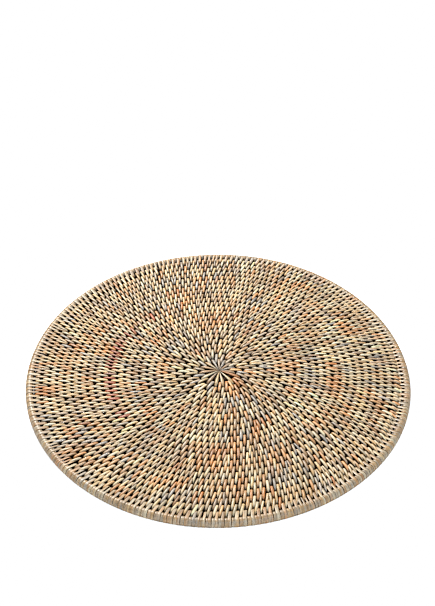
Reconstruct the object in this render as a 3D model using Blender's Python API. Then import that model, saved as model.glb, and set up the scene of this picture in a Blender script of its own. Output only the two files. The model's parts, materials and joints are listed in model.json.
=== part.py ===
"""A round placemat of coiled cane: one cane coil wound in a flat spiral and closed by a thicker rim rod."""

import math

import bmesh
import bpy

# Driving sizes, in metres
MAT_RADIUS = 0.190
RIM_WIDTH = 0.0082
RIM_HEIGHT = 0.0094
RIM_SUNK = 0.00012
COIL_TOP = 0.0088
COIL_BOTTOM = 0.0006
GROOVE_DEPTH = 0.0016
PIECE_GAP = 0.0003

# The spiral: the groove on the inner side of the coil starts here and grows by one pitch a turn
COIL_START = 0.0017
COIL_PITCH = 0.00737
COIL_CENTRE = (0.0014, -0.0005)
COIL_DRIFT = 0.0022
COIL_OVAL = 0.0014
OVAL_ANGLE = math.radians(30)
LAST_TURNS = 26
TAIL_MERGE = 0.0006

# How far the hand-made outline strays from a circle: lobes, cosine part, sine part
UNEVEN_OUTLINE = (
    (2, 0.00012, -0.00038),
    (3, 0.00015, -0.00041),
    (4, 0.00000, -0.00030),
    (5, 0.00000, -0.00020),
)

# Fineness of the meshes
COIL_STEPS = 48
RIM_STEPS = 96
RIM_SIDES = 15

COIL_RADIUS = MAT_RADIUS - RIM_WIDTH - PIECE_GAP
RIM_RADIUS = MAT_RADIUS - RIM_WIDTH / 2

CANE = {
    "coiled_mat": {"colour": (0.52, 0.38, 0.23, 1.0), "roughness": 0.55},
    "rim": {"colour": (0.56, 0.41, 0.25, 1.0), "roughness": 0.5},
}


def remove_all_objects():
    for item in list(bpy.data.objects):
        bpy.data.objects.remove(item, do_unlink=True)


def bulge(angle):
    """How far the outline stands out from its circle at this angle."""
    return sum(
        cosine * math.cos(lobes * angle) + sine * math.sin(lobes * angle)
        for lobes, cosine, sine in UNEVEN_OUTLINE
    )


def outline_middle():
    """The middle of the uneven outline's box, which the mat is centred on."""
    turn = [math.tau * step / 720 for step in range(720)]
    across = [(MAT_RADIUS + bulge(angle)) * math.cos(angle) for angle in turn]
    along = [(MAT_RADIUS + bulge(angle)) * math.sin(angle) for angle in turn]
    return (max(across) + min(across)) / 2, (max(along) + min(along)) / 2


MIDDLE = outline_middle()


def hand_made(x, y, z):
    """A point of the true round mat, moved to where the uneven one has it."""
    radius = math.hypot(x, y)
    angle = math.atan2(y, x)
    share = radius / MAT_RADIUS
    stretch = 1 + bulge(angle) * share / MAT_RADIUS
    return x * stretch - MIDDLE[0], y * stretch - MIDDLE[1], z


def groove(turns):
    """The place of the spiral groove after this many turns from its start."""
    angle = math.tau * turns
    share = turns / (COIL_RADIUS / COIL_PITCH)
    radius = COIL_START + COIL_PITCH * turns
    radius += COIL_OVAL * share * share * math.cos(2 * (angle - OVAL_ANGLE))
    x = COIL_CENTRE[0] + radius * math.cos(angle)
    y = COIL_CENTRE[1] + COIL_DRIFT * share + radius * math.sin(angle)
    return x, y


def rim_point(step, steps):
    angle = math.tau * step / steps
    return COIL_RADIUS * math.cos(angle), COIL_RADIUS * math.sin(angle)


def groove_or_rim(turn, step):
    """A groove point, or None where the coil has run into the rim."""
    if turn >= LAST_TURNS:
        return None
    x, y = groove(turn + step / COIL_STEPS)
    if math.hypot(x, y) > COIL_RADIUS - TAIL_MERGE:
        return None
    return x, y


def coil_rows(step):
    """Points from the centre to the rim at one angle: groove, crown, groove, crown.

    Each is x, y and its height as a share of the groove's depth. None is the rim."""
    rows = []
    for turn in range(LAST_TURNS):
        inner = groove_or_rim(turn, step)
        outer = groove_or_rim(turn + 1, step)
        rows.append(None if inner is None else (*inner, 0.0))
        if inner is None:
            rows.append(None)
            continue
        far = outer or rim_point(step, COIL_STEPS)
        width = math.hypot(far[0] - inner[0], far[1] - inner[1])
        height = min(1.0, width / COIL_PITCH) ** 0.5
        rows.append(((inner[0] + far[0]) / 2, (inner[1] + far[1]) / 2, height))
    return rows


def coil_face(bm, groove_height, crown_height):
    """One ridged face of the coil, top or bottom, and the ring of points that it ends in."""
    rise = crown_height - groove_height
    ring = []
    for step in range(2 * COIL_STEPS):
        x, y = rim_point(step, 2 * COIL_STEPS)
        ring.append(bm.verts.new(hand_made(x, y, groove_height)))
    columns = []
    for step in range(COIL_STEPS):
        column = []
        for row in coil_rows(step):
            if row is None:
                column.append(ring[2 * step])
            else:
                x, y, share = row
                column.append(bm.verts.new(hand_made(x, y, groove_height + rise * share)))
        columns.append(column)
    # After a full turn each row has become the one two further out
    columns.append(columns[0][2:] + [ring[0], ring[0]])

    between = {}
    for step in range(COIL_STEPS):
        pair = (ring[2 * step], ring[(2 * step + 2) % len(ring)])
        between[frozenset(pair)] = ring[2 * step + 1]
    for step in range(COIL_STEPS):
        near, far = columns[step], columns[step + 1]
        for row in range(len(near) - 1):
            add_face(bm, [near[row], far[row], far[row + 1], near[row + 1]], between)

    centre_height = groove_height + rise * 0.8
    centre = bm.verts.new(hand_made(*COIL_CENTRE, centre_height))
    first = [column[0] for column in columns]
    for step in range(COIL_STEPS - 1):
        add_face(bm, [centre, first[step + 1], first[step]], between)
    start = columns[0]
    add_face(bm, [centre, start[0], first[-2]], between)
    add_face(bm, [first[-2], start[0], start[1]], between)
    add_face(bm, [first[-2], start[1], start[2]], between)
    return ring


def add_face(bm, corners, between):
    """A face without repeated corners, with the extra rim point where it meets the rim."""
    kept = []
    for corner in corners:
        if corner not in kept:
            kept.append(corner)
    if len(kept) < 3:
        return
    full = []
    for place, corner in enumerate(kept):
        full.append(corner)
        extra = between.get(frozenset((corner, kept[(place + 1) % len(kept)])))
        if extra is not None:
            full.append(extra)
    bm.faces.new(full)


def coiled_mat_mesh():
    """The sewn coil: a ridged face above and below, joined by the wall beside the rim."""
    bm = bmesh.new()
    top = coil_face(bm, COIL_TOP - GROOVE_DEPTH, COIL_TOP)
    bottom = coil_face(bm, COIL_BOTTOM + GROOVE_DEPTH, COIL_BOTTOM)
    for step in range(len(top)):
        following = (step + 1) % len(top)
        bm.faces.new([top[step], top[following], bottom[following], bottom[step]])
    return finished_mesh("coiled_mat", bm)


def rim_profile():
    """The rim rod's oval section, x out from its middle and z up, with a flat foot at z = 0."""
    tall = RIM_HEIGHT / 2 + RIM_SUNK / 2
    middle = tall - RIM_SUNK
    foot = math.asin(middle / tall)
    first = -foot
    last = math.pi + foot
    points = []
    for side in range(RIM_SIDES):
        angle = first + (last - first) * side / (RIM_SIDES - 1)
        points.append((RIM_WIDTH / 2 * math.cos(angle), middle + tall * math.sin(angle)))
    points[0] = (points[0][0], 0.0)
    points[-1] = (points[-1][0], 0.0)
    return points


def rim_mesh():
    """The bound rim rod: its section carried round the mat."""
    bm = bmesh.new()
    profile = rim_profile()
    rings = []
    for step in range(RIM_STEPS):
        angle = math.tau * step / RIM_STEPS
        section = []
        for out, up in profile:
            radius = RIM_RADIUS + out
            point = hand_made(radius * math.cos(angle), radius * math.sin(angle), up)
            section.append(bm.verts.new(point))
        rings.append(section)
    for step in range(RIM_STEPS):
        near, far = rings[step], rings[(step + 1) % RIM_STEPS]
        for side in range(RIM_SIDES):
            above = (side + 1) % RIM_SIDES
            bm.faces.new([near[side], far[side], far[above], near[above]])
    return finished_mesh("rim", bm)


def finished_mesh(name, bm):
    bmesh.ops.triangulate(bm, faces=bm.faces[:])
    bmesh.ops.recalc_face_normals(bm, faces=bm.faces[:])
    mesh = bpy.data.meshes.new(name)
    bm.to_mesh(mesh)
    bm.free()
    mesh.shade_smooth()
    mesh.set_sharp_from_angle(angle=math.radians(50))
    return mesh


def cane_material(name):
    finish = CANE[name]
    material = bpy.data.materials.new(name + "_cane")
    material.use_nodes = True
    shader = material.node_tree.nodes["Principled BSDF"]
    shader.inputs["Base Color"].default_value = finish["colour"]
    shader.inputs["Roughness"].default_value = finish["roughness"]
    shader.inputs["Metallic"].default_value = 0.0
    return material


def add_piece(name, mesh):
    piece = bpy.data.objects.new(name, mesh)
    piece.data.materials.append(cane_material(name))
    bpy.context.scene.collection.objects.link(piece)
    return piece


remove_all_objects()
add_piece("coiled_mat", coiled_mat_mesh())
add_piece("rim", rim_mesh())
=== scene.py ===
import json
import math
import random

import bmesh
import bpy
from mathutils import Matrix, Vector

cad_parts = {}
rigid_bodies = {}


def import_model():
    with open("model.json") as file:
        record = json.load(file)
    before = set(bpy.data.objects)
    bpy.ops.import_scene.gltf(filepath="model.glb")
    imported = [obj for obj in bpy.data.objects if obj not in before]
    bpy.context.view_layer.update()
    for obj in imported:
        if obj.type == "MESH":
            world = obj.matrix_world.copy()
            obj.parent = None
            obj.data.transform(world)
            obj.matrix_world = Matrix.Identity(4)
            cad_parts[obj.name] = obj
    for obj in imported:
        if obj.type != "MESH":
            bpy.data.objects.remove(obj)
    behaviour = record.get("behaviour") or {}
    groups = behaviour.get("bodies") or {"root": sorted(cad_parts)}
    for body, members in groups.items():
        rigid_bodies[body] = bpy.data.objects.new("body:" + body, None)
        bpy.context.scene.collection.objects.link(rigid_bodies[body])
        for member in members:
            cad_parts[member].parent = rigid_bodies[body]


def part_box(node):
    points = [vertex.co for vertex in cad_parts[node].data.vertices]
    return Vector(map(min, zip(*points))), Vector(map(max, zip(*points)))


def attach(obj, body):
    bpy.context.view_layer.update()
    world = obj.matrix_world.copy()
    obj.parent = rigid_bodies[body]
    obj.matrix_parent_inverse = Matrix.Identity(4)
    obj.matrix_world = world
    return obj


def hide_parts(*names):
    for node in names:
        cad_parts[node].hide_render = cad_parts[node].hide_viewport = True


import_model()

scene = bpy.context.scene
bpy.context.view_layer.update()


# The core: one long round cane, wound in a flat spiral from the middle out to the rim.
# It is brown, unpolished cane, painted nearly black as shade for the gaps, and the sewing holds
# each turn to the next.
# Only dark glimpses of it show in the gaps between the stitches.

MAT_RADIUS = 0.190
RIM_WIDTH = 0.0082
COIL_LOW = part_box("coiled_mat")[0][2]
COIL_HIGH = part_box("coiled_mat")[1][2]
COIL_MIDDLE = (COIL_LOW + COIL_HIGH) / 2
COIL_START = 0.0017
COIL_PITCH = 0.00737
COIL_CENTRE = Vector((0.0014, -0.0005, 0))
COIL_DRIFT = 0.0022
COIL_OVAL = 0.0014
OVAL_ANGLE = math.radians(30)
RIM_SEAM_RADIUS = MAT_RADIUS - RIM_WIDTH - 0.0001
CORE_HALF_WIDTH = 0.0038
CORE_HALF_HEIGHT = 0.0032
CORE_GAP = -0.00004
CORE_LEAD = 0.4
CORE_STEPS = 60
CORE_CORNERS = 4
CORE_FULLNESS = 0.82
UNEVEN_OUTLINE = (
    # lobes, cosine part, sine part
    (2, 0.00012, -0.00038),
    (3, 0.00015, -0.00041),
    (4, 0.00000, -0.00030),
    (5, 0.00000, -0.00020),
)


def bulge(angle):
    """How far the hand-made outline stands out from its circle at this angle."""
    return sum(
        cosine * math.cos(lobes * angle) + sine * math.sin(lobes * angle)
        for lobes, cosine, sine in UNEVEN_OUTLINE
    )


def outline_middle():
    """The middle of the uneven outline's box, which the mat is centred on."""
    turn = [math.tau * step / 720 for step in range(720)]
    across = [(MAT_RADIUS + bulge(angle)) * math.cos(angle) for angle in turn]
    along = [(MAT_RADIUS + bulge(angle)) * math.sin(angle) for angle in turn]
    return Vector(((max(across) + min(across)) / 2, (max(along) + min(along)) / 2, 0))


MIDDLE = outline_middle()


def hand_made(point):
    """A point of the true round mat, moved to where the uneven one has it."""
    radius = math.hypot(point.x, point.y)
    angle = math.atan2(point.y, point.x)
    stretch = 1 + bulge(angle) * radius / MAT_RADIUS ** 2
    return Vector((point.x * stretch, point.y * stretch, point.z)) - MIDDLE


def on_circle(radius, turns):
    angle = math.tau * turns
    return Vector((radius * math.cos(angle), radius * math.sin(angle), 0))


def groove(turns):
    """The place of the spiral groove between two coils, so many turns from its start."""
    share = turns * COIL_PITCH / RIM_SEAM_RADIUS
    oval = COIL_OVAL * share * share * math.cos(2 * (math.tau * turns - OVAL_ANGLE))
    middle = COIL_CENTRE + Vector((0, COIL_DRIFT * share, 0))
    return middle + on_circle(COIL_START + COIL_PITCH * turns + oval, turns)


def turns_to_rim():
    """Where the groove runs into the rim and the last coil ends."""
    turns = 20.0
    while groove(turns).length < RIM_SEAM_RADIUS:
        turns += 0.002
    return turns


COIL_END = turns_to_rim()


def seam(turns):
    """The groove, and past the coil's end the circle where the rim is sewn on."""
    if turns < COIL_END:
        return groove(turns)
    return on_circle(RIM_SEAM_RADIUS, turns)


def new_tree(name, inputs):
    """An empty geometry tree with one geometry in and out and these named inputs."""
    tree = bpy.data.node_groups.new(name, "GeometryNodeTree")
    tree.interface.new_socket("Geometry", in_out="INPUT", socket_type="NodeSocketGeometry")
    tree.interface.new_socket("Geometry", in_out="OUTPUT", socket_type="NodeSocketGeometry")
    for label, kind in inputs:
        tree.interface.new_socket(label, in_out="INPUT", socket_type="NodeSocket" + kind)
    return tree


def add_node(tree, kind, **settings):
    node = tree.nodes.new(kind)
    for name, value in settings.items():
        setattr(node, name, value)
    return node


def end_tree(tree, given, geometry):
    """Closes a geometry tree: real meshes, then their material."""
    real = add_node(tree, "GeometryNodeRealizeInstances")
    paint = add_node(tree, "GeometryNodeSetMaterial")
    result = add_node(tree, "NodeGroupOutput")
    tree.links.new(geometry, real.inputs["Geometry"])
    tree.links.new(real.outputs["Geometry"], paint.inputs["Geometry"])
    tree.links.new(given.outputs["Material"], paint.inputs["Material"])
    tree.links.new(paint.outputs["Geometry"], result.inputs["Geometry"])


def rod_tree():
    """A rod along a path whose points hold their own half width.

    Its section has corners, and points between them as full as a circle's at 1.0."""
    inputs = [
        ("Corners", "Int"),
        ("Fullness", "Float"),
        ("Height To Width", "Float"),
        ("Material", "Material"),
    ]
    tree = new_tree("cane_rod", inputs)
    given = add_node(tree, "NodeGroupInput")
    curve = add_node(tree, "GeometryNodeMeshToCurve")
    upright = add_node(tree, "GeometryNodeSetCurveNormal", mode="Z_UP")
    half_width = add_node(tree, "GeometryNodeInputNamedAttribute", data_type="FLOAT")
    half_width.inputs["Name"].default_value = "half_width"
    section = add_node(tree, "GeometryNodeCurveStar")
    section.inputs["Outer Radius"].default_value = 1.0
    squash = add_node(tree, "ShaderNodeCombineXYZ")
    squash.inputs["X"].default_value = 1.0
    squash.inputs["Z"].default_value = 1.0
    oval = add_node(tree, "GeometryNodeTransform")
    rod = add_node(tree, "GeometryNodeCurveToMesh")
    rod.inputs["Fill Caps"].default_value = True
    tree.links.new(given.outputs["Geometry"], curve.inputs["Mesh"])
    tree.links.new(curve.outputs["Curve"], upright.inputs["Curve"])
    tree.links.new(given.outputs["Corners"], section.inputs["Points"])
    tree.links.new(given.outputs["Fullness"], section.inputs["Inner Radius"])
    tree.links.new(given.outputs["Height To Width"], squash.inputs["Y"])
    tree.links.new(section.outputs["Curve"], oval.inputs["Geometry"])
    tree.links.new(squash.outputs["Vector"], oval.inputs["Scale"])
    tree.links.new(upright.outputs["Curve"], rod.inputs["Curve"])
    tree.links.new(oval.outputs["Geometry"], rod.inputs["Profile Curve"])
    tree.links.new(half_width.outputs["Attribute"], rod.inputs["Scale"])
    end_tree(tree, given, rod.outputs["Mesh"])
    return tree


def path_holder(name, points, half_widths, closed=False):
    """An object that holds a path and each point's half width, for the rod's tree."""
    mesh = bpy.data.meshes.new(name)
    edges = [(step, step + 1) for step in range(len(points) - 1)]
    if closed:
        edges.append((len(points) - 1, 0))
    mesh.from_pydata(points, edges, [])
    layer = mesh.attributes.new("half_width", "FLOAT", "POINT")
    layer.data.foreach_set("value", half_widths)
    return bpy.data.objects.new(name, mesh)


def made_by_nodes(holder, tree, values):
    """Sets the tree's named inputs, then turns its result into the holder's plain mesh."""
    modifier = holder.modifiers.new(tree.name, "NODES")
    modifier.node_group = tree
    for item in tree.interface.items_tree:
        if item.in_out == "INPUT" and item.name in values:
            modifier[item.identifier] = values[item.name]
    scene.collection.objects.link(holder)
    graph = bpy.context.evaluated_depsgraph_get()
    mesh = bpy.data.meshes.new_from_object(
        holder.evaluated_get(graph), preserve_all_data_layers=True, depsgraph=graph
    )
    mesh.name = holder.name
    holder.modifiers.clear()
    holder.data = mesh
    return holder


def cane_skin_group():
    """What core, sewing and rim share: fine fibres, warm streaks, blotches, and painted shade where
    the cane dips into the gaps.
    """
    group = bpy.data.node_groups.new("cane_skin", "ShaderNodeTree")
    sockets = (
        ("Tint", "INPUT", "NodeSocketColor"),
        ("Warm Tint", "INPUT", "NodeSocketColor"),
        ("Dip Tint", "INPUT", "NodeSocketColor"),
        ("Along", "INPUT", "NodeSocketVector"),
        ("Clean", "INPUT", "NodeSocketFloat"),
        ("Fibre Depth", "INPUT", "NodeSocketFloat"),
        ("Colour", "OUTPUT", "NodeSocketColor"),
        ("Roughness", "OUTPUT", "NodeSocketFloat"),
        ("Relief", "OUTPUT", "NodeSocketFloat"),
    )
    for label, side, kind in sockets:
        group.interface.new_socket(label, in_out=side, socket_type=kind)
    given = add_node(group, "NodeGroupInput")
    result = add_node(group, "NodeGroupOutput")
    link = group.links.new

    fibre_place = add_node(group, "ShaderNodeVectorMath", operation="MULTIPLY")
    fibre_place.inputs[1].default_value = (2600.0, 90.0, 100.0)
    link(given.outputs["Along"], fibre_place.inputs[0])
    fibre = add_node(group, "ShaderNodeTexNoise")
    fibre.inputs["Scale"].default_value = 1.0
    fibre.inputs["Detail"].default_value = 2.0
    link(fibre_place.outputs["Vector"], fibre.inputs["Vector"])

    streak_place = add_node(group, "ShaderNodeVectorMath", operation="MULTIPLY")
    streak_place.inputs[1].default_value = (620.0, 70.0, 100.0)
    link(given.outputs["Along"], streak_place.inputs[0])
    streak = add_node(group, "ShaderNodeTexNoise")
    streak.inputs["Scale"].default_value = 1.0
    streak.inputs["Detail"].default_value = 1.0
    link(streak_place.outputs["Vector"], streak.inputs["Vector"])

    place = add_node(group, "ShaderNodeTexCoord")
    blotch = add_node(group, "ShaderNodeTexNoise")
    blotch.inputs["Scale"].default_value = 420.0
    blotch.inputs["Detail"].default_value = 2.0
    link(place.outputs["Object"], blotch.inputs["Vector"])

    warmth = add_node(group, "ShaderNodeMapRange", interpolation_type="SMOOTHSTEP")
    warmth.inputs["From Min"].default_value = 0.42
    warmth.inputs["From Max"].default_value = 0.62
    link(streak.outputs["Fac"], warmth.inputs["Value"])
    tinted = add_node(group, "ShaderNodeMix", data_type="RGBA")
    link(warmth.outputs["Result"], tinted.inputs["Factor"])
    link(given.outputs["Tint"], tinted.inputs["A"])
    link(given.outputs["Warm Tint"], tinted.inputs["B"])

    lowest = add_node(group, "ShaderNodeMath", operation="SUBTRACT")
    lowest.inputs[0].default_value = 1.0
    link(given.outputs["Fibre Depth"], lowest.inputs[1])
    fibre_shade = add_node(group, "ShaderNodeMapRange")
    fibre_shade.inputs["From Min"].default_value = 0.3
    fibre_shade.inputs["From Max"].default_value = 0.65
    fibre_shade.inputs["To Max"].default_value = 1.0
    link(fibre.outputs["Fac"], fibre_shade.inputs["Value"])
    link(lowest.outputs["Value"], fibre_shade.inputs["To Min"])
    blotch_shade = add_node(group, "ShaderNodeMapRange")
    blotch_shade.inputs["From Min"].default_value = 0.3
    blotch_shade.inputs["From Max"].default_value = 0.7
    blotch_shade.inputs["To Min"].default_value = 0.84
    blotch_shade.inputs["To Max"].default_value = 1.1
    link(blotch.outputs["Fac"], blotch_shade.inputs["Value"])
    shade = add_node(group, "ShaderNodeMath", operation="MULTIPLY")
    link(fibre_shade.outputs["Result"], shade.inputs[0])
    link(blotch_shade.outputs["Result"], shade.inputs[1])
    shaded = add_node(group, "ShaderNodeVectorMath", operation="SCALE")
    link(tinted.outputs["Result"], shaded.inputs[0])
    link(shade.outputs["Value"], shaded.inputs["Scale"])

    # Painted shade: the colour falls to the dip tint where the strips dive into the gaps between
    # the coils.
    painted_shade_mix = add_node(group, "ShaderNodeMix", data_type="RGBA")
    link(given.outputs["Clean"], painted_shade_mix.inputs["Factor"])
    link(given.outputs["Dip Tint"], painted_shade_mix.inputs["A"])
    link(shaded.outputs["Vector"], painted_shade_mix.inputs["B"])
    link(painted_shade_mix.outputs["Result"], result.inputs["Colour"])

    rough = add_node(group, "ShaderNodeMapRange")
    rough.inputs["To Min"].default_value = 0.32
    rough.inputs["To Max"].default_value = 0.56
    link(blotch.outputs["Fac"], rough.inputs["Value"])
    link(rough.outputs["Result"], result.inputs["Roughness"])
    link(fibre.outputs["Fac"], result.inputs["Relief"])
    return group


CANE_SKIN = cane_skin_group()
CANE_SHEEN = 0.9


def skin_shader(name, painted_shade_tint, fibre_depth):
    """A new material whose shader takes colour, roughness and relief from the shared skin."""
    material = bpy.data.materials.new(name)
    material.use_nodes = True
    tree = material.node_tree
    shader = tree.nodes["Principled BSDF"]
    skin = add_node(tree, "ShaderNodeGroup", node_tree=CANE_SKIN)
    skin.inputs["Dip Tint"].default_value = (*painted_shade_tint, 1)
    skin.inputs["Fibre Depth"].default_value = fibre_depth
    shader.inputs["Specular IOR Level"].default_value = CANE_SHEEN
    relief = add_node(tree, "ShaderNodeBump")
    relief.inputs["Strength"].default_value = 0.35
    relief.inputs["Distance"].default_value = 0.0001
    tree.links.new(skin.outputs["Relief"], relief.inputs["Height"])
    tree.links.new(skin.outputs["Colour"], shader.inputs["Base Color"])
    tree.links.new(skin.outputs["Roughness"], shader.inputs["Roughness"])
    tree.links.new(relief.outputs["Normal"], shader.inputs["Normal"])
    return material, skin


core_material, core_skin = skin_shader("core_cane", (0.02, 0.010, 0.004), 0.4)
# Nearly black: painted shade for the gaps between the stitches.
core_skin.inputs["Tint"].default_value = (0.045, 0.022, 0.009, 1)
core_skin.inputs["Warm Tint"].default_value = (0.03, 0.013, 0.005, 1)
core_skin.inputs["Clean"].default_value = 1.0
core_shader = core_material.node_tree.nodes["Principled BSDF"]
core_shader.inputs["Specular IOR Level"].default_value = 0.15
core_place = add_node(core_material.node_tree, "ShaderNodeTexCoord")
core_material.node_tree.links.new(core_place.outputs["Object"], core_skin.inputs["Along"])

core_points = []
core_half_widths = []
for step in range(int((COIL_END + CORE_LEAD) * CORE_STEPS)):
    turns = step / CORE_STEPS - CORE_LEAD
    inner = groove(turns)
    outer = seam(turns + 1)
    core_points.append(hand_made((inner + outer) / 2 + Vector((0, 0, COIL_MIDDLE))))
    room = (outer - inner).length / 2 - CORE_GAP
    core_half_widths.append(max(0.0003, min(CORE_HALF_WIDTH, room)))

ROD_TREE = rod_tree()
core = made_by_nodes(
    path_holder("core", core_points, core_half_widths),
    ROD_TREE,
    {
        "Corners": CORE_CORNERS,
        "Fullness": CORE_FULLNESS,
        "Height To Width": CORE_HALF_HEIGHT / CORE_HALF_WIDTH,
        "Material": core_material,
    },
)
core.data.shade_smooth()
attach(core, "root")
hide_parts("coiled_mat")


# The centre star: the first fifteen stitches, which all come up through the middle.
# They are split cane, drawn thin where they meet, and fan out over the first two turns.
# Their outer ends set the step for all the sewing that follows.

STAR_STITCHES = 15
STAR_TINTS = (
    # anticlockwise from the right
    "tan", "grey", "tan", "grey", "tan", "grey", "straw", "tan",
    "tan", "cream", "tan", "cream", "straw", "cream", "amber",
)
STAR_SHADE = 0.85
STAR_BREADTH = 0.0037
STITCH_SPACE = 0.0055
FORK_SPACE = 0.0070
FORK_SPREAD = 0.0005
SLANT = math.radians(13.5)
SLANT_SPREAD = math.radians(2.5)
WANDER = 0.06
EVENING = 0.3
NOMINAL_SPAN = 2 * COIL_PITCH
NOMINAL_BREADTH = STITCH_SPACE / 2
STRIP_SIDE = 0.00010
STRIP_THICK = 0.00070
ROUNDED_STRIP = (
    # across as a share of the breadth, height above the flat side
    (-0.50, STRIP_SIDE),
    (-0.20, STRIP_THICK),
    (0.20, STRIP_THICK),
    (0.50, STRIP_SIDE),
)
STRIP_TINTS = {
    "cream": (0.84, 0.69, 0.45),
    "straw": (0.74, 0.56, 0.34),
    "tan": (0.58, 0.41, 0.26),
    "grey": (0.50, 0.44, 0.37),
    "orange": (0.76, 0.41, 0.18),
    "amber": (0.66, 0.28, 0.09),
    "red": (0.46, 0.13, 0.06),
}
TINT_SHARES = {"cream": 28, "straw": 26, "tan": 20, "grey": 10, "orange": 13, "amber": 2}
WARMER = (1.00, 0.80, 0.55)
RUN_LENGTHS = (1, 5)
LIGHTNESS_SPREAD = 0.15
STANDING_OUT = (
    # tint, first and last turn along the groove
    ("red", 14.36, 14.60),
    ("amber", 14.30, 14.36),
    ("amber", 14.95, 15.02),
    ("orange", 16.72, 16.84),
    ("amber", 17.70, 17.708),
    ("orange", 19.70, 19.80),
    ("orange", 20.62, 20.70),
)
STANDING_OUT_SHARE = 0.95

rng = random.Random(86)


def as_turns(distance, turns):
    """A distance along the groove as a share of a turn there."""
    return distance / (math.tau * max(0.004, seam(turns).length))


def plan_sewing():
    """Where each stitch crosses the groove, where it starts, and which gap it ends in.

    All places are turns along the groove, from the middle outwards. Each gap between
    two crossings sends off one stitch, or two where the stitches have spread too far."""
    crossings = [1 + place / STAR_STITCHES for place in range(STAR_STITCHES)]
    starts = [None] * STAR_STITCHES
    ends_in = []
    for gap in range(20000):
        here = (crossings[gap] + crossings[gap + 1]) / 2
        if here > COIL_END:
            break
        ends_in.append(len(crossings) - 1)
        space = (crossings[gap + 1] - crossings[gap]) * math.tau * seam(here).length
        lean = math.tan(SLANT + rng.gauss(0, SLANT_SPREAD)) * COIL_PITCH
        there = here + 1 - as_turns(lean, here + 1)
        forked = space > FORK_SPACE + rng.gauss(0, FORK_SPREAD)
        for aside in (-space / 4, space / 4) if forked else (0.0,):
            spot = there + as_turns(aside + rng.gauss(0, WANDER * STITCH_SPACE), there)
            crossings.append(max(spot, crossings[-1] + as_turns(0.0012, there)))
            starts.append(here + as_turns(aside * 0.45, here))
            even = (crossings[-3] + crossings[-1]) / 2
            crossings[-2] += EVENING * (even - crossings[-2])
    return crossings, starts, ends_in


def close_the_rim(crossings, starts):
    """Evens out the stitches round the rim, so that its circle closes with the same step."""
    first = next(place for place, turns in enumerate(crossings) if turns > COIL_END)
    while crossings[-1] > crossings[first] + 1 - as_turns(STITCH_SPACE / 2, COIL_END):
        crossings.pop()
        starts.pop()
    step = 1 / (len(crossings) - first)
    over = crossings[first] + 1 - step - crossings[-1]
    length = crossings[-1] - crossings[first]
    for place in range(first, len(crossings)):
        crossings[place] += over * (crossings[place] - crossings[first]) / length
    return first


crossings, starts, ends_in = plan_sewing()
first_on_rim = close_the_rim(crossings, starts)
gaps = [(near + far) / 2 for near, far in zip(crossings, crossings[1:])]
gaps.append((crossings[-1] + crossings[first_on_rim] + 1) / 2)


def gap_at_end(place):
    """The gap that a stitch ends in, where the rim's circle goes on from its own start."""
    gap = ends_in[place]
    if gap >= len(gaps):
        gap += first_on_rim - len(gaps)
    return hand_made(seam(gaps[gap]))


def strip_mesh(name, points, section):
    """A closed strip along points of (x, aside, z, out x, out z, breadth, unshaded).

    x and the breadth are shares of the nominal span and breadth, and each strip's own
    point stretches them. The map holds metres across and along the strip."""
    bm = bmesh.new()
    strip_map = bm.loops.layers.uv.new("strip")
    # unshaded is 1 where the cane shows its own colour and 0 where painted shade darkens it in a
    # gap.
    unshaded_layer = bm.verts.layers.float.new("clean")
    rings = []
    along = [0.0]
    for here, there in zip(points, points[1:]):
        step = math.hypot((there[0] - here[0]) * NOMINAL_SPAN, there[2] - here[2])
        along.append(along[-1] + step)
    for x, aside, z, out_x, out_z, breadth, clean in points:
        ring = []
        for across, height in section:
            spot = (
                x + out_x * height / NOMINAL_SPAN,
                aside + across * breadth,
                z + out_z * height,
            )
            vertex = bm.verts.new(spot)
            vertex[unshaded_layer] = clean
            ring.append(vertex)
        rings.append(ring)
    side_breadth = NOMINAL_BREADTH / (len(section) - 1)
    for step in range(len(rings) - 1):
        near, far = rings[step], rings[step + 1]
        for side in range(len(section)):
            beside = (side + 1) % len(section)
            face = bm.faces.new([near[side], near[beside], far[beside], far[side]])
            corners = ((side, step), (side + 1, step), (side + 1, step + 1), (side, step + 1))
            for loop, (across, length) in zip(face.loops, corners):
                loop[strip_map].uv = (across * side_breadth, along[length])
    bm.faces.new(rings[0])
    bm.faces.new(rings[-1][::-1])
    bmesh.ops.recalc_face_normals(bm, faces=bm.faces[:])
    mesh = bpy.data.meshes.new(name)
    bm.to_mesh(mesh)
    bm.free()
    mesh.shade_smooth()
    return bpy.data.objects.new(name, mesh)


def shape_set(name, shapes):
    """A collection of strip shapes, which a tree picks from by number."""
    holder = bpy.data.collections.new(name)
    for shape in shapes:
        holder.objects.link(shape)
    return holder


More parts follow.
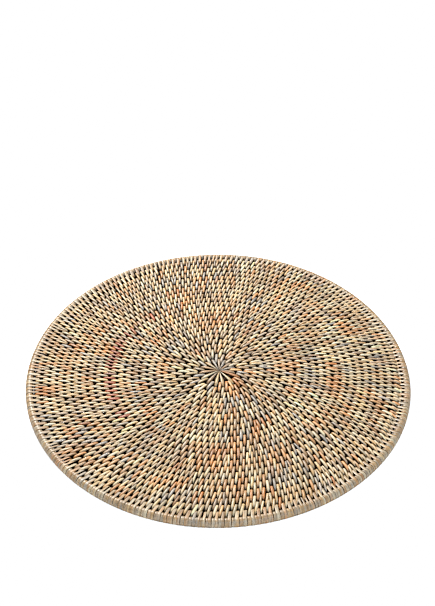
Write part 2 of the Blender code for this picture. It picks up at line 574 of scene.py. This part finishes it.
def strips_tree():
    """Lays one of the strip shapes at each point, turned and stretched as the point says."""
    inputs = [
        ("Shapes", "Collection"),
        ("Tilt", "Float"),
        ("Seed", "Int"),
        ("Material", "Material"),
    ]
    tree = new_tree("laid_strips", inputs)
    given = add_node(tree, "NodeGroupInput")
    shapes = add_node(tree, "GeometryNodeCollectionInfo", transform_space="ORIGINAL")
    shapes.inputs["Separate Children"].default_value = True
    shapes.inputs["Reset Children"].default_value = True
    turned = add_node(tree, "GeometryNodeInputNamedAttribute", data_type="FLOAT_VECTOR")
    turned.inputs["Name"].default_value = "turned"
    stretch = add_node(tree, "GeometryNodeInputNamedAttribute", data_type="FLOAT_VECTOR")
    stretch.inputs["Name"].default_value = "stretch"
    shape = add_node(tree, "GeometryNodeInputNamedAttribute", data_type="INT")
    shape.inputs["Name"].default_value = "shape"
    least = add_node(tree, "ShaderNodeMath", operation="MULTIPLY")
    least.inputs[1].default_value = -1.0
    tilt = add_node(tree, "FunctionNodeRandomValue", data_type="FLOAT")
    tilt_turn = add_node(tree, "ShaderNodeCombineXYZ")
    both = add_node(tree, "ShaderNodeVectorMath", operation="ADD")
    lay = add_node(tree, "GeometryNodeInstanceOnPoints")
    lay.inputs["Pick Instance"].default_value = True
    tree.links.new(given.outputs["Shapes"], shapes.inputs["Collection"])
    tree.links.new(given.outputs["Tilt"], least.inputs[0])
    tree.links.new(least.outputs["Value"], tilt.inputs[2])
    tree.links.new(given.outputs["Tilt"], tilt.inputs[3])
    tree.links.new(given.outputs["Seed"], tilt.inputs["Seed"])
    tree.links.new(tilt.outputs[1], tilt_turn.inputs["X"])
    tree.links.new(turned.outputs["Attribute"], both.inputs[0])
    tree.links.new(tilt_turn.outputs["Vector"], both.inputs[1])
    tree.links.new(given.outputs["Geometry"], lay.inputs["Points"])
    tree.links.new(shapes.outputs["Instances"], lay.inputs["Instance"])
    tree.links.new(shape.outputs["Attribute"], lay.inputs["Instance Index"])
    tree.links.new(both.outputs["Vector"], lay.inputs["Rotation"])
    tree.links.new(stretch.outputs["Attribute"], lay.inputs["Scale"])
    end_tree(tree, given, lay.outputs["Instances"])
    return tree


STRIPS_TREE = strips_tree()


def laid_strip(start, across, span, breadth, shape, tint):
    """What one point tells the tree and the material about its strip."""
    return {
        "place": start + Vector((0, 0, COIL_MIDDLE)),
        "turned": (0, 0, math.atan2(across.y, across.x)),
        "stretch": (span, breadth, 1),
        "shape": shape,
        "tint": tint,
        "shift": (rng.random(), rng.random(), rng.random()),
    }


def strip_holder(name, strips):
    """An object with one point for each strip."""
    mesh = bpy.data.meshes.new(name)
    mesh.from_pydata([strip["place"] for strip in strips], [], [])
    for label, kind, field in (
        ("turned", "FLOAT_VECTOR", "vector"),
        ("stretch", "FLOAT_VECTOR", "vector"),
        ("shape", "INT", "value"),
        ("tint", "FLOAT_COLOR", "color"),
        ("shift", "FLOAT_VECTOR", "vector"),
    ):
        layer = mesh.attributes.new(label, kind, "POINT")
        for spot, strip in zip(layer.data, strips):
            setattr(spot, field, strip[label])
    return bpy.data.objects.new(name, mesh)


def strip_material(name, painted_shade_tint, fibre_depth):
    """Split cane that takes its tint, and its painted shade in the gaps, from each strip."""
    material, skin = skin_shader(name, painted_shade_tint, fibre_depth)
    tree = material.node_tree
    tint = add_node(tree, "ShaderNodeAttribute", attribute_name="tint")
    clean = add_node(tree, "ShaderNodeAttribute", attribute_name="clean")
    shift = add_node(tree, "ShaderNodeAttribute", attribute_name="shift")
    flat = add_node(tree, "ShaderNodeUVMap", uv_map="strip")
    moved = add_node(tree, "ShaderNodeVectorMath", operation="ADD")
    warmer = add_node(tree, "ShaderNodeVectorMath", operation="MULTIPLY")
    warmer.inputs[1].default_value = WARMER
    tree.links.new(flat.outputs["UV"], moved.inputs[0])
    tree.links.new(shift.outputs["Vector"], moved.inputs[1])
    tree.links.new(tint.outputs["Color"], warmer.inputs[0])
    tree.links.new(moved.outputs["Vector"], skin.inputs["Along"])
    tree.links.new(tint.outputs["Color"], skin.inputs["Tint"])
    tree.links.new(warmer.outputs["Vector"], skin.inputs["Warm Tint"])
    tree.links.new(clean.outputs["Fac"], skin.inputs["Clean"])
    return material


def strip_tints(places):
    """A tint for each stitch: a length of cane does a few stitches before the next one."""
    names = list(TINT_SHARES)
    shares = list(TINT_SHARES.values())
    tints = []
    left = 0
    for turns in places:
        if left == 0:
            run = STRIP_TINTS[rng.choices(names, shares)[0]]
            left = rng.randint(*RUN_LENGTHS)
        left -= 1
        colour = run
        for name, first, last in STANDING_OUT:
            if first <= turns <= last and rng.random() < STANDING_OUT_SHARE:
                colour = STRIP_TINTS[name]
        other = STRIP_TINTS[rng.choices(names, shares)[0]]
        blend = rng.random() ** 2
        light = 1 + rng.gauss(0, LIGHTNESS_SPREAD)
        mixed = [light * (one + blend * (two - one)) for one, two in zip(colour, other)]
        tints.append((*[max(0.02, min(0.95, part)) for part in mixed], 1))
    return tints


def star_path():
    """From the middle over two turns, down, and back below, thin where the strips meet."""
    return [
        # x, aside, z, out x, out z, breadth, unshaded: painted shade at the middle pit and where
        # the strip dives into the gap
        (0.015, 0, 0.0020, -0.5, 0.9, 0.15, 0.0),
        (0.060, 0, 0.0028, -0.3, 1.0, 0.18, 0.4),
        (0.200, 0, 0.0032, 0.0, 1.0, 0.38, 0.9),
        (0.400, 0, 0.0034, 0.0, 1.0, 0.66, 1.0),
        (0.650, 0, 0.0034, 0.0, 1.0, 0.95, 1.0),
        (0.800, 0, 0.0032, 0.2, 1.0, 0.98, 1.0),
        (0.910, 0, 0.0024, 0.7, 0.7, 0.88, 0.8),
        (0.980, 0, 0.0010, 1.0, 0.3, 0.76, 0.2),
        (0.980, 0, -0.0010, 1.0, -0.3, 0.76, 0.0),
        (0.850, 0, -0.0031, 0.3, -1.0, 0.90, 1.0),
        (0.500, 0, -0.0034, 0.0, -1.0, 0.80, 1.0),
        (0.200, 0, -0.0032, 0.0, -1.0, 0.50, 1.0),
        (0.040, 0, -0.0026, 0.0, -1.0, 0.26, 0.3),
    ]


star_shapes = shape_set("star_shapes", [strip_mesh("star_strip", star_path(), ROUNDED_STRIP)])
# The dark brown is the painted shade tint for the strips' ends in the gaps.
sewing_material = strip_material("sewing_cane", (0.040, 0.022, 0.010), 0.28)
tints = strip_tints(crossings)
hub = hand_made(COIL_CENTRE)
star_strips = []
for place in range(STAR_STITCHES):
    across = gap_at_end(place) - hub
    tint = (*[STAR_SHADE * part for part in STRIP_TINTS[STAR_TINTS[place]]], 1)
    star_strips.append(laid_strip(hub, across, across.length, STAR_BREADTH, 0, tint))
star = made_by_nodes(
    strip_holder("centre_star", star_strips),
    STRIPS_TREE,
    {"Shapes": star_shapes, "Tilt": math.radians(3), "Seed": 3, "Material": sewing_material},
)
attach(star, "root")


# The sewing: split cane strips, about three millimetres broad, rounded on the outside.
# Each stitch comes up through a gap, lies over two turns of the core and goes down through
# a gap of the next row but one, then runs back underneath to where the next one starts.

SEWING_PIECES = 3
COVER = 0.55
COVER_SPREAD = 0.05
GAP_SPREAD = 0.00012
MOST_BREADTH = 0.0033
LOOP_HEIGHT = CORE_HALF_HEIGHT + 0.00008
LOOP_HALF_WIDTH = 0.0026
STITCH_SHAPES = (
    # sideways bow, extra arch, breadth where it dives
    (0.00, 0.00000, 0.74),
    (0.10, 0.00010, 0.66),
    (-0.09, -0.00006, 0.78),
    (0.05, 0.00016, 0.62),
    (-0.05, 0.00004, 0.70),
)


def core_arc(middle, degrees):
    """A point of the bend over the core, the middle being a share of the stitch's span."""
    angle = math.radians(degrees)
    out_x, out_z = math.cos(angle), math.sin(angle)
    return middle + LOOP_HALF_WIDTH * out_x / NOMINAL_SPAN, LOOP_HEIGHT * out_z, out_x, out_z


def stitch_path(bow, arch, dive):
    """Over two turns of the core, down, and back below to where the next stitch starts."""
    ends = (
        # middle of the bend, degrees round the core, breadth, unshaded (0 is painted shade in the
        # gap)
        (0.25, 180, dive, 0.0),
        (0.25, 150, dive, 0.3),
        (0.25, 124, 0.90, 1.0),
        (0.25, 98, 0.98, 1.0),
        (0.75, 82, 0.98, 1.0),
        (0.75, 56, 0.92, 1.0),
        (0.75, 30, dive, 0.7),
        (0.75, 0, dive, 0.1),
        (0.75, -45, 0.85, 0.6),
        (0.75, -90, 1.00, 1.0),
        (0.25, -90, 1.00, 1.0),
        (0.25, -135, 0.85, 0.6),
        (0.25, -180, dive, 0.0),
    )
    points = []
    for middle, degrees, breadth, clean in ends:
        x, z, out_x, out_z = core_arc(middle, degrees)
        aside = bow * math.sin(math.pi * min(1.0, max(0.0, x)))
        if degrees < 0:
            aside = 2.0 * (1 - x)
        points.append((x, aside, z, out_x, out_z, breadth, clean))
    points.insert(4, (0.5, bow, LOOP_HEIGHT + 0.0002 + arch, 0.0, 1.0, 0.95, 1.0))
    return points


stitch_shapes = shape_set(
    "stitch_shapes",
    [
        strip_mesh(f"stitch_{number}", stitch_path(*shape), ROUNDED_STRIP)
        for number, shape in enumerate(STITCH_SHAPES)
    ],
)


def step_between_stitches(place):
    """The distance from one stitch to the next in the same row."""
    near = crossings[max(0, place - 2)]
    far = crossings[min(len(crossings) - 1, place + 2)]
    return (far - near) / 4 * math.tau * seam(crossings[place]).length


stitches = []
for place in range(STAR_STITCHES, first_on_rim):
    loose = Vector((rng.gauss(0, GAP_SPREAD), rng.gauss(0, GAP_SPREAD), 0))
    start = hand_made(seam(starts[place])) + loose
    across = gap_at_end(place) - start
    breadth = step_between_stitches(place) * COVER * (1 + rng.gauss(0, COVER_SPREAD))
    breadth = min(breadth, MOST_BREADTH)
    shape = rng.randrange(len(STITCH_SHAPES))
    stitches.append(laid_strip(start, across, across.length, breadth, shape, tints[place]))

for part in range(SEWING_PIECES):
    first = part * len(stitches) // SEWING_PIECES
    last = (part + 1) * len(stitches) // SEWING_PIECES
    piece = made_by_nodes(
        strip_holder(f"sewing_{part + 1}", stitches[first:last]),
        STRIPS_TREE,
        {
            "Shapes": stitch_shapes,
            "Tilt": math.radians(6),
            "Seed": 7 + part,
            "Material": sewing_material,
        },
    )
    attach(piece, "root")


# The rim rod: a thicker round cane laid round the last turn and lapped on itself.
# Its binding hides it, but for dark glimpses between the strips; it takes the core's nearly black
# cane, painted shade for those glimpses.

RIM_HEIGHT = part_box("rim")[1][2]
BINDING_THICK = 0.00056
ROD_HALF_WIDTH = RIM_WIDTH / 2 - BINDING_THICK - 0.00005
ROD_HALF_HEIGHT = RIM_HEIGHT / 2 - BINDING_THICK - 0.00005
ROD_RADIUS = MAT_RADIUS - RIM_WIDTH / 2
ROD_STEPS = 240
ROD_CORNERS = 5

rod_points = []
for step in range(ROD_STEPS):
    place = on_circle(ROD_RADIUS, step / ROD_STEPS)
    rod_points.append(hand_made(place + Vector((0, 0, RIM_HEIGHT / 2))))
rim_rod = made_by_nodes(
    path_holder("rim_rod", rod_points, [ROD_HALF_WIDTH] * ROD_STEPS, closed=True),
    ROD_TREE,
    {
        "Corners": ROD_CORNERS,
        "Fullness": 1.0,
        "Height To Width": ROD_HALF_HEIGHT / ROD_HALF_WIDTH,
        "Material": core_material,
    },
)
rim_rod.data.shade_smooth()
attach(rim_rod, "root")
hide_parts("rim")


# The rim binding: split cane wound closely round the rim rod, strip against strip.
# Every other strip starts a row further in and lies over the last turn of the core too,
# which sews the rim on.

BINDING_STRIP = (
    (-0.50, 0.00044),
    (-0.38, BINDING_THICK),
    (0.38, BINDING_THICK),
    (0.50, 0.00044),
)
BINDING_COVER = 1.03
RIM_TINT = (0.52, 0.39, 0.25)
LONG_MUTE = 0.5
PLAIN_MUTE = 0.75
LEAST_WIDTH = 0.0022
MOST_WIDTH = 0.0086
LAST_WIDTHS = 9
ROD_OUT = ROD_RADIUS - RIM_SEAM_RADIUS
UP_OVER_COIL = (
    # degrees round the last coil, breadth, how unshaded the cane is (0 is painted shade in the gap)
    (180, 0.60, 0.0),
    (150, 0.68, 0.2),
    (122, 0.85, 0.9),
    (95, 1.00, 1.0),
)
BACK_UNDER_COIL = (
    (-95, 0.95, 1.0),
    (-135, 0.80, 0.5),
    (-180, 0.60, 0.0),
)


def rim_arc(degrees):
    """A point on the rod's oval section, measured out from the seam."""
    angle = math.radians(degrees)
    out_x, out_z = math.cos(angle), math.sin(angle)
    x = ROD_OUT + (ROD_HALF_WIDTH + 0.00003) * out_x
    z = (ROD_HALF_HEIGHT + 0.00003) * out_z + RIM_HEIGHT / 2 - COIL_MIDDLE
    return x, z, out_x, out_z


def plain_path():
    """Once round the rim rod, up from the gap and down again on its inner side."""
    points = []
    for step in range(13):
        degrees = 190 - 370 * step / 12
        x, z, out_x, out_z = rim_arc(degrees)
        # Painted shade on the inner side by the gap, and lighter painted shade under the rod.
        clean = min(1.0, max(0.0, (165 - degrees) / 55)) if degrees > -90 else 0.7
        breadth = 1.0 if -150 < degrees < 150 else 0.75
        aside = 0.12 * math.sin(math.radians(degrees))
        points.append((x / NOMINAL_SPAN, aside, z, out_x, out_z, breadth, clean))
    return points


def long_path(width):
    """Over the last coil, which is this wide, round the rim rod and back below both."""
    half_width = min(LOOP_HALF_WIDTH, width / 2 - 0.0001)
    height = half_width + (LOOP_HEIGHT - half_width) * 0.8

    def coil_bend(bend):
        spots = []
        for degrees, breadth, clean in bend:
            angle = math.radians(degrees)
            out_x, out_z = math.cos(angle), math.sin(angle)
            x, z = half_width * out_x - width / 2, height * out_z
            spots.append((x, z, out_x, out_z, breadth, clean))
        return spots

    spots = coil_bend(UP_OVER_COIL)
    for step in range(9):
        spots.append((*rim_arc(118 - 26 * step), 1.0, 1.0))
    spots += coil_bend(BACK_UNDER_COIL)
    points = []
    for x, z, out_x, out_z, breadth, clean in spots:
        aside = math.tan(SLANT) * max(0.0, -x) / NOMINAL_BREADTH
        if z < 0 and x < ROD_OUT:
            aside = (ROD_OUT - x) / (ROD_OUT + width) * 1.2
        points.append((x / NOMINAL_SPAN, aside, z, out_x, out_z, breadth, clean))
    return points


def muted(tint, share):
    """A strip's tint, brought towards the rim's even tan."""
    return (*[one + share * (two - one) for one, two in zip(tint, RIM_TINT)], 1)


last_widths = [
    LEAST_WIDTH + (MOST_WIDTH - LEAST_WIDTH) * number / (LAST_WIDTHS - 1)
    for number in range(LAST_WIDTHS)
]
binding_shapes = shape_set(
    "binding_shapes",
    [strip_mesh("binding_0", plain_path(), BINDING_STRIP)]
    + [
        strip_mesh(f"binding_{number + 1}", long_path(width), BINDING_STRIP)
        for number, width in enumerate(last_widths)
    ],
)

binding = []
for place in range(first_on_rim, len(crossings)):
    turns = crossings[place]
    start = hand_made(seam(starts[place]))
    over = hand_made(on_circle(RIM_SEAM_RADIUS, turns))
    width = (over - start).length
    shape = 1 + min(range(LAST_WIDTHS), key=lambda number: abs(last_widths[number] - width))
    before = gaps[place - 1] if place > first_on_rim else gaps[-1] - 1
    breadth = (gaps[place] - before) * math.pi * MAT_RADIUS * BINDING_COVER
    tint = muted(tints[place], LONG_MUTE)
    binding.append(laid_strip(over, over, NOMINAL_SPAN, breadth, shape, tint))
    foot = hand_made(on_circle(RIM_SEAM_RADIUS, gaps[place]))
    breadth = (gaps[place] - turns) * math.tau * MAT_RADIUS * BINDING_COVER
    tint = muted(tints[(place * 7) % len(tints)], PLAIN_MUTE)
    binding.append(laid_strip(foot, foot, NOMINAL_SPAN, breadth, 0, tint))

# The dark brown is the painted shade tint for the binding's ends in the gaps.
binding_material = strip_material("binding_cane", (0.04, 0.025, 0.014), 0.45)
rim_binding = made_by_nodes(
    strip_holder("rim_binding", binding),
    STRIPS_TREE,
    {"Shapes": binding_shapes, "Tilt": math.radians(1), "Seed": 5, "Material": binding_material},
)
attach(rim_binding, "root")

for shapes in (star_shapes, stitch_shapes, binding_shapes):
    for shape in list(shapes.objects):
        bpy.data.objects.remove(shape)
    bpy.data.collections.remove(shapes)


# The setting: a plain white floor under soft light, most of it from above and behind.
# The camera looks down on the mat from the height and distance of the photograph.

FLOOR_SIZE = 8.0
FLOOR_GLOW = 0.6
CAMERA_PLACE = Vector((0.0004, -0.7427, 0.7245))
CAMERA_DOWN = math.radians(40.256)
CAMERA_PAN = math.radians(0.04)
CAMERA_ROLL = math.radians(-0.20)
CAMERA_LENS = 61.41
SHOWN_GAMMA = 2.2
SHARPENING = 0.06
DARKEST = (0.03, 0.02, 0.02)

half = FLOOR_SIZE / 2
floor_mesh = bpy.data.meshes.new("floor")
floor_mesh.from_pydata(
    [(-half, -half, 0), (half, -half, 0), (half, half, 0), (-half, half, 0)], [], [(0, 1, 2, 3)]
)
floor = bpy.data.objects.new("floor", floor_mesh)
scene.collection.objects.link(floor)
floor.location.z = -0.0001
floor_material = bpy.data.materials.new("white_floor")
floor_material.use_nodes = True
floor_shader = floor_material.node_tree.nodes["Principled BSDF"]
floor_shader.inputs["Base Color"].default_value = (0.95, 0.95, 0.95, 1)
floor_shader.inputs["Roughness"].default_value = 0.9
floor_shader.inputs["Specular IOR Level"].default_value = 0.1
floor_shader.inputs["Emission Color"].default_value = (1, 1, 1, 1)
seen = add_node(floor_material.node_tree, "ShaderNodeLightPath")
glow = add_node(floor_material.node_tree, "ShaderNodeMath", operation="MULTIPLY")
glow.inputs[1].default_value = FLOOR_GLOW
floor_material.node_tree.links.new(seen.outputs["Is Camera Ray"], glow.inputs[0])
floor_material.node_tree.links.new(glow.outputs["Value"], floor_shader.inputs["Emission Strength"])
floor_mesh.materials.append(floor_material)

world = bpy.data.worlds.new("studio")
world.use_nodes = True
sky = world.node_tree.nodes["Background"]
sky.inputs["Color"].default_value = (0.88, 0.94, 1.0, 1)
sky.inputs["Strength"].default_value = 0.5
scene.world = world


def area_light(name, place, size, power, colour):
    light = bpy.data.lights.new(name, "AREA")
    light.shape = "DISK"
    light.size = size
    light.energy = power
    light.color = colour
    lamp = bpy.data.objects.new(name, light)
    scene.collection.objects.link(lamp)
    lamp.location = place
    lamp.rotation_euler = (-Vector(place)).to_track_quat("-Z", "Y").to_euler()


area_light("key", (-0.45, 1.05, 1.25), 0.5, 28, (1.0, 0.97, 0.92))
area_light("fill", (0.4, -1.4, 0.95), 1.4, 11, (0.68, 0.83, 1.0))

camera = bpy.data.objects.new("camera", bpy.data.cameras.new("camera"))
scene.collection.objects.link(camera)
camera.data.lens = CAMERA_LENS
camera.data.clip_start = 0.05
turn = Matrix.Rotation(CAMERA_PAN, 4, "Z") @ Matrix.Rotation(math.pi / 2 - CAMERA_DOWN, 4, "X")
camera.matrix_world = Matrix.Translation(CAMERA_PLACE) @ turn @ Matrix.Rotation(CAMERA_ROLL, 4, "Z")
scene.camera = camera
scene.view_settings.view_transform = "Standard"

# The photograph is a little sharpened. Gamma brings the picture to shown values for that,
# and the whites and blacks are held in range on either side of it.
scene.use_nodes = True
finishing = scene.node_tree
finishing.nodes.clear()
layers = add_node(finishing, "CompositorNodeRLayers")
whites = add_node(finishing, "CompositorNodeMixRGB", blend_type="DARKEN")
whites.inputs[2].default_value = (1, 1, 1, 1)
shown = add_node(finishing, "CompositorNodeGamma")
shown.inputs["Gamma"].default_value = 1 / SHOWN_GAMMA
sharpened = add_node(finishing, "CompositorNodeFilter", filter_type="SHARPEN")
sharpened.inputs["Fac"].default_value = SHARPENING
blacks = add_node(finishing, "CompositorNodeMixRGB", blend_type="LIGHTEN")
blacks.inputs[2].default_value = (*DARKEST, 1)
stored = add_node(finishing, "CompositorNodeGamma")
stored.inputs["Gamma"].default_value = SHOWN_GAMMA
picture = add_node(finishing, "CompositorNodeComposite")
finishing.links.new(layers.outputs["Image"], whites.inputs[1])
finishing.links.new(whites.outputs["Image"], shown.inputs["Image"])
finishing.links.new(shown.outputs["Image"], sharpened.inputs["Image"])
finishing.links.new(sharpened.outputs["Image"], blacks.inputs[1])
finishing.links.new(blacks.outputs["Image"], stored.inputs["Image"])
finishing.links.new(stored.outputs["Image"], picture.inputs["Image"])
